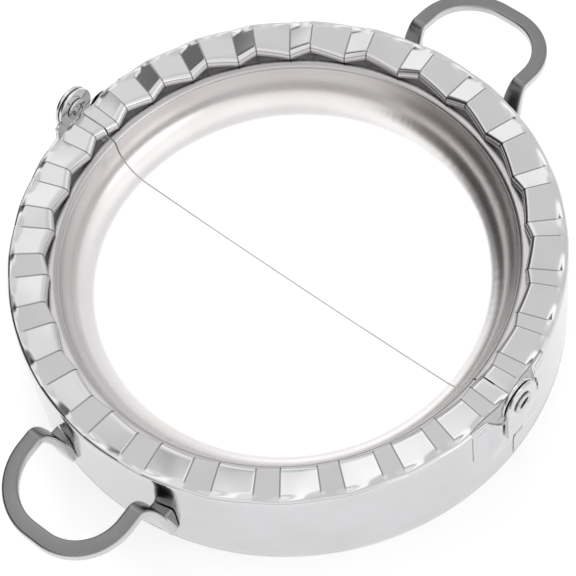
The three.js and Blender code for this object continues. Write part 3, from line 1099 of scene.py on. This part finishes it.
        pitch, radius = mark("pitch"), mark("radius")
        phase = pitch - bench.math("ROUND", pitch)
        off = abs(phase)
        sign = bench.math("SIGN", phase)
        softness = size["Ridge softness"] * ((1 + sign) * 0.5)
        softness = softness + size["Valley softness"] * ((1 - sign) * 0.5)
        rising = off / (size["Wide share"] * 0.5)
        falling = (0.5 - off) / ((1 - size["Wide share"]) * 0.5)
        flute = sign * bench.math("SMOOTH_MIN", rising, falling, softness)
        even = pitch * math.pi / size["Flutes"]
        angle = even - size["Pitch swell"] * 0.5 * bench.math("SINE", even * 2.0)
        reach = radius + size["Lip zigzag"] * flute * mark("inwards")
        _, _, level = bench.axes(bench.add("GeometryNodeInputPosition"))
        height = level + size["Flute rise"] * flute * mark("fluted")
        x = reach * bench.math("COSINE", angle)
        y = bench.math("MAXIMUM", reach * bench.math("SINE", angle), size["Half gap"])
        end = bench.math("SIGN", x)
        right = (1 + end) * 0.5
        ear = size["Outer ear face"] * right + size["Inner ear face"] * (1 - right)
        flat = end * (ear - (size["Ring radius"] - radius))
        beside = 1 - bench.smooth(y, size["Flare flat"], size["Flare length"])
        above = bench.smooth(level, size["Flare root"], size["Flare full"])
        x = x + (flat - x) * (beside * above * mark("banded"))
        spot = bench.add("ShaderNodeCombineXYZ", {0: x, 1: y, 2: height})
        pressed = {"Geometry": bench.wire(start, 0), "Position": spot}
        moved = bench.add("GeometryNodeSetPosition", pressed)
        whole = bench.add("GeometryNodeRealizeInstances", {0: moved})
        bench.node("NodeGroupOutput", {0: bench.add("GeometryNodeSetMaterial", {0: whole})})
        return tree

    def _slit(self, side: float) -> Piece:
        """The body that the slit takes from the crimping face.

        Args:
            side: 1 for the +X end and -1 for the other.

        Returns:
            A prism outside the face's straight edge.
        """
        s = self.sizes
        wall = s.ring_radius - s.sheet
        outside = s.ring_radius + CUT_OVERRUN
        corners = [
            (s.ring_radius - self.slit_inset, -MM),
            (s.ring_radius - self.slit_inset, 0.0),
            (math.sqrt(wall**2 - self.slit_length**2), self.slit_length),
            (outside, self.slit_length),
            (outside, -MM),
        ]
        outline = [(side * x, y) for x, y in corners]
        return prism("slit", outline, self._band_top, s.rim_height + CUT_OVERRUN)

    def _notch(self, face: float, notch: Triple, top: float) -> Piece:
        """The body that the notch beside an ear takes from the band.

        Args:
            face: Where the ear's outer face stands along X.
            notch: Its reach and foot from the hinge line, and its depth.
            top: Height of the body's top.

        Returns:
            The prism.
        """
        s = self.sizes
        reach, foot, depth = notch
        rim = s.rim_height - self.neck_top_drop
        slope = (reach - foot) / depth
        towards_pivot = foot / (s.pivot_height - rim + depth)
        outline = [
            (reach + (top - rim) * slope, top),
            (foot, rim - depth),
            (towards_pivot * (s.pivot_height - top), top),
        ]
        return across_x(prism("notch", outline, face - NOTCH_HALF, face + NOTCH_HALF))

    def _lap(self) -> Piece:
        """The outer ear's lap over the end of the other half's band.

        Returns:
            The prism.
        """
        s = self.sizes
        low = s.pivot_height - self.lap_depth
        half, corner = self.ear_radius, self.lap_corner
        outline = [
            (half, s.pivot_height),
            (-half, s.pivot_height),
            *arc((corner - half, low + corner), corner, 180, 270, 8),
            (half, low),
        ]
        inside = s.outer_ear_face - s.sheet - self.ear_proud
        return across_x(prism("lap", outline, inside, s.outer_ear_face + self.ear_proud))

    def _seam(self) -> Piece:
        """The body that the seam line takes from the outside of the band.

        Returns:
            The prism.
        """
        s = self.sizes
        half, top = self.seam_width / 2, self._band_top
        inside, outside = s.ring_radius - self.seam_depth, s.ring_radius + MM
        corners = [(inside, -half), (outside, -half), (outside, half), (inside, half)]
        body = prism("seam", corners, top - self.seam_length, top)
        turn = math.pi - math.asin(self.slit_length / s.ring_radius)
        body.data.transform(Matrix.Rotation(turn, 4, "Z"))
        return body

    def _ear(self, face: float) -> Piece:
        """A round ear with softened edges.

        Args:
            face: Where its outer face stands along X.

        Returns:
            The disc.
        """
        s = self.sizes
        proud, edge, rim = self.ear_proud, self.ear_edge, self.ear_radius
        thick = s.sheet + 2 * proud
        outline = np.array([
            (self.ear_core, 0.0),
            *arc((rim - edge, edge), edge, -90, 0, 3),
            *arc((rim - edge, thick - edge), edge, 0, 90, 3),
            (self.ear_core, thick),
        ])
        start = min(face, face - math.copysign(s.sheet, face)) - proud
        return lathe_x("ear", outline, start, s.pivot_height, 96)

    def _hole(self, side: float) -> Piece:
        """The plug that cuts an ear's hole.

        Args:
            side: 1 for the +X end and -1 for the other.

        Returns:
            The plug.
        """
        s = self.sizes
        radius = s.rivet_tube + self.running_clearance
        circle = arc((0.0, s.pivot_height), radius, 0, 360, 64)[:-1]
        ends = sorted((side * s.ring_radius, side * (s.ring_radius + CUT_OVERRUN)))
        return across_x(prism("hole", circle, *ends))


@dataclass
class HalfBowl:
    """A pressed half bowl whose rim lies under the crimping face."""

    sizes: PressSizes
    seat_gap: float = 0.3 * MM
    rim_show: float = 1.3 * MM
    rim_width: float = 3.4 * MM
    wall_radius: float = 6.0 * MM
    wall_depth: float = 7.4 * MM
    floor_dish: float = 0.7 * MM
    columns: int = 180
    floor_points: int = 12
    wall_points: int = 24
    edge_round: float = 0.5
    crease_degrees: float = 35.0

    def build(self, name: str) -> Piece:
        """Builds the rear half's bowl.

        Args:
            name: The object's name.

        Returns:
            The finished object.
        """
        s = self.sizes
        outline = self._outline()
        angles = np.linspace(0.0, math.pi, self.columns + 1)
        vertices = np.array([
            (r * math.cos(a), max(r * math.sin(a), s.meeting_gap / 2), z)
            for a in angles for r, z in outline
        ])
        bowl = mesh_object(name, vertices, swept_faces(len(angles), len(outline)))
        smooth_faces(bowl, self.crease_degrees)
        return bowl

    def _outline(self) -> Outline:
        """Outline of the bowl's sheet, from the middle of its floor to its rim.

        Returns:
            The closed outline.
        """
        s = self.sizes
        rim_height = s.rim_height - s.inner_lip_depth - s.flute_rise - self.seat_gap - s.sheet / 2
        wall_top = s.ring_radius - s.crimp_width - self.rim_show
        bend = s.inner_bend - s.sheet / 2
        wall_start = rim_height - bend
        floor_radius = wall_top - self.wall_radius
        floor = wall_start - self.wall_depth
        outs = np.linspace(0.0, 1.0, self.floor_points + 1)[:-1]
        path = [(floor_radius * o, floor - self.floor_dish * (1 - o * o)) for o in outs]
        for turn in np.radians(np.linspace(0.0, 90.0, self.wall_points + 1)[:-1]):
            out, down = self.wall_radius * math.sin(turn), self.wall_depth * math.cos(turn)
            path.append((floor_radius + out, wall_start - down))
        path += arc((wall_top + bend, wall_start), bend, 180, 90, 5)
        path += [(wall_top + self.rim_width, rim_height)]
        outline = sheet_outline(path, s.sheet, self.edge_round)
        return np.stack([np.maximum(outline[:, 0], 0.0), outline[:, 1]], axis=1)


@dataclass
class LoopHandle:
    """A bar bent to a loop, whose ends curve down to wider feet on the band."""

    sizes: PressSizes
    width: float = 25.0 * MM
    reach: float = 17.5 * MM
    bend_radius: float = 11.0 * MM
    bar_width: float = 2.8 * MM
    bar_height: float = 2.0 * MM
    edge_radius: float = 0.45 * MM
    drop: float = 1.4 * MM
    level_length: float = 4.0 * MM
    droop_degrees: float = 10.0
    neck_drop: float = 7.5 * MM
    neck_length: float = 4.0 * MM
    foot_width: float = 4.0 * MM
    foot_length: float = 4.0 * MM
    seat_gap: float = 0.2 * MM
    leg_points: int = 48
    corner_steps: int = 22
    crease_degrees: float = 40.0

    def build(self, name: str) -> Piece:
        """Builds the rear half's handle.

        Args:
            name: The object's name.

        Returns:
            The finished object.
        """
        section = self._section()
        line, across = self._loop()
        vertices = np.array([
            self._shaped(x, x + a * ax, y + a * ay, b)
            for (x, y), (ax, ay) in zip(line, across) for a, b in section
        ])
        handle = mesh_object(name, vertices, swept_faces(len(line), len(section)))
        smooth_faces(handle, self.crease_degrees)
        return handle

    def _section(self) -> list[Pair]:
        """The bar's section.

        Returns:
            Its points, across and up.
        """
        x = self.bar_width / 2 - self.edge_radius
        y = self.bar_height / 2 - self.edge_radius
        points = []
        for sx, sy, start in ((1, 1, 0), (-1, 1, 90), (-1, -1, 180), (1, -1, 270)):
            points += arc((sx * x, sy * y), self.edge_radius, start, start + 90, 8)
        return points

    def _loop(self) -> tuple[np.ndarray, np.ndarray]:
        """Middle line of the loop and the level direction across it.

        Returns:
            Points of the line and unit vectors across it, both as x and y.
        """
        s = self.sizes
        side = self.width / 2 - self.bar_width / 2
        far = s.ring_radius + self.reach - self.bar_width / 2
        radius = self.bend_radius - self.bar_width / 2
        foot = s.ring_radius - self.foot_length / 2
        leg = [(side, y) for y in np.linspace(foot, far - radius, self.leg_points)[:-1]]
        corner = arc((side - radius, far - radius), radius, 0, 90, self.corner_steps)
        half = leg + corner + [(x, far) for x in np.linspace(side - radius, 0, 4)[1:]]
        line = np.array(half + [(-x, y) for x, y in half[-2::-1]])
        along = np.gradient(line, axis=0)
        along /= np.linalg.norm(along, axis=1)[:, None]
        return line, np.stack([along[:, 1], -along[:, 0]], axis=1)

    def _shaped(self, middle: float, x: float, y: float, up: float) -> Triple:
        """Place of one point of the bar, with its foot and its droop.

        Args:
            middle: The bar's middle line along X.
            x: The point along X.
            y: The point along Y.
            up: The point above the bar's middle.

        Returns:
            The point.
        """
        s = self.sizes
        out = max(y - s.ring_radius, 0.0)
        share = min(out / self.foot_length, 1.0)
        foot = 1 - share * share * (3 - 2 * share)
        widening = 1 + foot * (self.foot_width / self.bar_width - 1)
        bent = max(1 - out / self.neck_length, 0.0)
        slope = 2 * self.neck_drop / self.neck_length * bent
        below = (self.bar_height / 2 - up) * math.hypot(1.0, slope)
        droop = math.tan(math.radians(self.droop_degrees)) * max(out - self.level_length, 0.0)
        wide = middle + (x - middle) * widening
        seat = math.sqrt((s.ring_radius + self.seat_gap) ** 2 - wide**2)
        level = s.rim_height - self.drop - droop
        return wide, max(y, seat), level - self.neck_drop * bent * bent - below


@dataclass
class TubularRivet:
    """A short tube through both ears, rolled over at its ends."""

    sizes: PressSizes
    bore: float = 1.1 * MM
    roll_radius: float = 2.05 * MM
    roll_thickness: float = 0.4 * MM
    roll_gap: float = 0.1 * MM
    round_steps: int = 72
    crease_degrees: float = 40.0

    def build(self, name: str) -> Piece:
        """Builds the rivet at the +X end.

        Args:
            name: The object's name.

        Returns:
            The finished object.
        """
        s = self.sizes
        start = s.ring_radius + s.ear_standoff - self.roll_gap - self.roll_thickness
        length = s.outer_ear_face + self.roll_gap + self.roll_thickness - start
        thick, rim = self.roll_thickness, self.roll_radius
        mouth, front, back = thick * 0.7, thick * 0.6, thick * 0.4
        near = [
            *arc((self.bore + mouth, mouth), mouth, 180, 270, 5),
            *arc((rim - front, front), front, 270, 360, 5),
            *arc((rim - back, front), back, 0, 90, 3),
            (s.rivet_tube, thick),
        ]
        outline = np.array(near + [(r, length - d) for r, d in reversed(near)])
        rivet = lathe_x(name, outline, start, s.pivot_height, self.round_steps)
        smooth_faces(rivet, self.crease_degrees)
        return rivet


# Studio


@dataclass(frozen=True)
class Patch:
    """A soft-edged patch of the surroundings that the steel mirrors.

    Its place and half sizes are in degrees: the azimuth runs from +X towards +Y, and the
    elevation up from the floor. A radiance of 1 is white.
    """

    azimuth: float
    elevation: float
    half_width: float
    half_height: float
    radiance: Triple
    softness: float = 0.5
    least_forward: float = 0.001  # for directions that point away from the patch

    def share(self, bench: Bench, direction: Wire) -> Wire:
        """How much of the patch lies in a direction.

        Args:
            bench: The world tree's bench.
            direction: The direction looked at.

        Returns:
            1 inside the patch and 0 outside it, with a soft edge.
        """
        a, e = math.radians(self.azimuth), math.radians(self.elevation)
        centre = Vector((math.cos(a) * math.cos(e), math.sin(a) * math.cos(e), math.sin(e)))
        across = Vector((-math.sin(a), math.cos(a), 0.0)) / math.tan(math.radians(self.half_width))
        up = centre.cross(Vector((-math.sin(a), math.cos(a), 0.0)))
        up = up / math.tan(math.radians(self.half_height))
        u, v = bench.dot(direction, across), bench.dot(direction, up)
        forward = bench.math("MAXIMUM", bench.dot(direction, centre), self.least_forward)
        off = bench.math("SQRT", u * u + v * v) / forward
        return 1 - bench.smooth(off, 1 - self.softness, 1 + self.softness)


@dataclass(frozen=True)
class Lamp:
    """A square area lamp that faces the press and that the steel does not mirror."""

    name: str
    place: Triple
    side: float
    watts: float

    def build(self) -> None:
        """Adds the lamp to the scene."""
        data = bpy.data.lights.new(self.name, "AREA")
        data.shape = "SQUARE"
        data.size = self.side
        data.energy = self.watts
        lamp = linked_object(self.name, data)
        lamp.location = self.place
        lamp.visible_glossy = False
        lamp.rotation_mode = "QUATERNION"
        lamp.rotation_quaternion = (-Vector(self.place)).to_track_quat("-Z", "Y")


@dataclass
class Studio:
    """Pale floor, soft lamps and the camera at the photograph's viewing angle."""

    azimuth: float = 47.95
    elevation: float = 59.14
    roll: float = -9.99
    distance: float = 380.4 * MM
    lens: float = 137.75
    target_height: float = 10.5 * MM
    shift: Pair = (-2.5 / PHOTO_SIDE, -10.0 / PHOTO_SIDE)
    floor_half: float = 3.0
    floor_colour: Triple = (0.93, 0.93, 0.93)
    floor_lift: float = 0.38
    light_colour: Triple = (0.95, 0.96, 0.98)
    light_strength: float = 0.75
    lamps: tuple[Lamp, ...] = (
        Lamp("top_box", (-0.25, 0.28, 0.62), 0.32, 0.6),
        Lamp("side_box", (-0.55, -0.35, 0.45), 0.35, 0.4),
    )
    surround: Triple = (0.87, 0.87, 0.875)
    patches: tuple[Patch, ...] = (
        Patch(225.0, 60.0, 70.0, 13.0, (1.15, 1.15, 1.15)),
        Patch(300.0, 38.0, 38.0, 24.0, (1.1, 1.09, 1.09)),
        Patch(8.0, 32.0, 40.0, 36.0, (1.15, 1.14, 1.14), 0.4),
        Patch(8.0, 10.0, 24.0, 13.0, (1.9, 1.88, 1.88)),
        Patch(288.0, 4.0, 40.0, 10.0, (0.66, 0.58, 0.58)),
        Patch(232.0, 22.0, 26.0, 22.0, (0.18, 0.16, 0.15)),
        Patch(204.0, 20.0, 26.0, 24.0, (0.05, 0.044, 0.043), 0.4),
        Patch(168.0, 2.0, 22.0, 14.0, (0.10, 0.09, 0.088)),
        Patch(188.0, 46.0, 18.0, 9.0, (0.19, 0.19, 0.19), 0.4),
        Patch(117.0, 38.0, 12.0, 10.0, (1.0, 1.0, 1.0)),
        Patch(143.0, 29.0, 14.0, 9.0, (1.3, 1.3, 1.3), 0.3),
        Patch(150.0, 62.0, 18.0, 13.0, (1.5, 1.5, 1.5), 0.3),
    )

    def build(self) -> None:
        """Builds the whole studio."""
        self._world()
        self._floor()
        for lamp in self.lamps:
            lamp.build()
        self._camera()

    def _camera(self) -> None:
        """Places the camera and turns it by its roll."""
        a, e = math.radians(self.azimuth), math.radians(self.elevation)
        back = Vector((math.sin(a) * math.cos(e), -math.cos(a) * math.cos(e), math.sin(e)))
        right = Vector((math.cos(a), math.sin(a), 0.0))
        up = back.cross(right)
        turn = math.radians(self.roll)
        right, up = (
            right * math.cos(turn) + up * math.sin(turn),
            up * math.cos(turn) - right * math.sin(turn),
        )
        data = bpy.data.cameras.new("camera")
        data.lens = self.lens
        data.sensor_width = 36.0
        data.shift_x, data.shift_y = self.shift
        data.clip_start, data.clip_end = 0.01, 20.0
        camera = linked_object("camera", data)
        place = Vector((0, 0, self.target_height)) + back * self.distance
        camera.matrix_world = Matrix((
            (right.x, up.x, back.x, place.x),
            (right.y, up.y, back.y, place.y),
            (right.z, up.z, back.z, place.z),
            (0, 0, 0, 1),
        ))
        bpy.context.scene.camera = camera

    @staticmethod
    def _seen(bench: Bench) -> Wire:
        """Tells what the camera sees, directly or in metal or glass, from other light.

        Args:
            bench: The tree's bench.

        Returns:
            1 for what the camera sees and 0 for other light.
        """
        path = bench.node("ShaderNodeLightPath")
        camera, glossy = bench.wire(path, "Is Camera Ray"), bench.wire(path, "Is Glossy Ray")
        direct = bench.math("MAXIMUM", camera, glossy)
        return bench.math("MAXIMUM", direct, bench.wire(path, "Is Transmission Ray"))

    def _world(self) -> None:
        """White surroundings for the camera and for reflections, and softer light elsewhere."""
        world = bpy.data.worlds.new("studio")
        world.use_nodes = True
        world.node_tree.nodes.clear()
        bench = Bench(world.node_tree)
        camera_ray = bench.add("ShaderNodeLightPath", output="Is Camera Ray")
        direction = bench.add("ShaderNodeTexCoord", output="Generated")
        mirrored: Colour = self.surround
        for patch in self.patches:
            mirrored = bench.blend(patch.share(bench, direction), mirrored, patch.radiance)
        colour = bench.blend(camera_ray, mirrored, (1.0, 1.0, 1.0))
        lit = {"Color": (*self.light_colour, 1), "Strength": self.light_strength}
        light = bench.add("ShaderNodeBackground", lit)
        white = bench.add("ShaderNodeBackground", {"Color": colour, "Strength": 1.0})
        mixed = bench.add("ShaderNodeMixShader", {0: self._seen(bench), 1: light, 2: white})
        bench.node("ShaderNodeOutputWorld", {"Surface": mixed})
        bpy.context.scene.world = world

    def _floor(self) -> None:
        """A large pale floor that keeps the press's shadow."""
        corners = ((-1, -1, 0), (1, -1, 0), (1, 1, 0), (-1, 1, 0))
        floor = mesh_object("floor", np.array(corners) * self.floor_half, [(0, 1, 2, 3)])
        made, bench = new_material("floor")
        matt = {"Base Color": (*self.floor_colour, 1), "Roughness": 0.9}
        paper = bench.add("ShaderNodeBsdfPrincipled", matt)
        strength = self._seen(bench) * self.floor_lift
        glow = bench.add("ShaderNodeEmission", {"Strength": strength})
        lifted = bench.add("ShaderNodeAddShader", {0: paper, 1: glow})
        bench.node("ShaderNodeOutputMaterial", {"Surface": lifted})
        floor.data.materials.append(made)


# The whole press


@dataclass
class PastryPress:
    """Both halves and their hinge rivets."""

    sizes: PressSizes = field(default_factory=PressSizes)
    finishes: Finishes = field(default_factory=Finishes)

    def build(self) -> None:
        """Builds the rear half, turns a copy of it into the front half, and dresses both."""
        rows = (
            (CrimpingShell(self.sizes), "crimping_shell", self.finishes.shell),
            (HalfBowl(self.sizes), "half_bowl", self.finishes.bowl),
            (LoopHandle(self.sizes), "loop_handle", self.finishes.handle),
        )
        for maker, what, finish in rows:
            material = finish.material()
            rear = maker.build(f"rear_{what}_form")
            front = turned_copy(rear, f"front_{what}_form")
            dress(rear, material, "rear_half", f"rear_{what}")
            dress(front, material, "front_half", f"front_{what}")
        material = self.finishes.rivet.material()
        right = TubularRivet(self.sizes).build("right_hinge_rivet_form")
        left = turned_copy(right, "left_hinge_rivet_form")
        dress(right, material, "front_half", "right_hinge_rivet")
        dress(left, material, "front_half", "left_hinge_rivet")


def main() -> None:
    """Loads the frame, builds the press and the studio, and sets the view."""
    logging.basicConfig(level=logging.INFO, format="%(name)s %(message)s")
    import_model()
    PastryPress().build()
    Studio().build()
    scene = bpy.context.scene
    scene.view_settings.view_transform = "Standard"


if __name__ == "__main__":
    main()
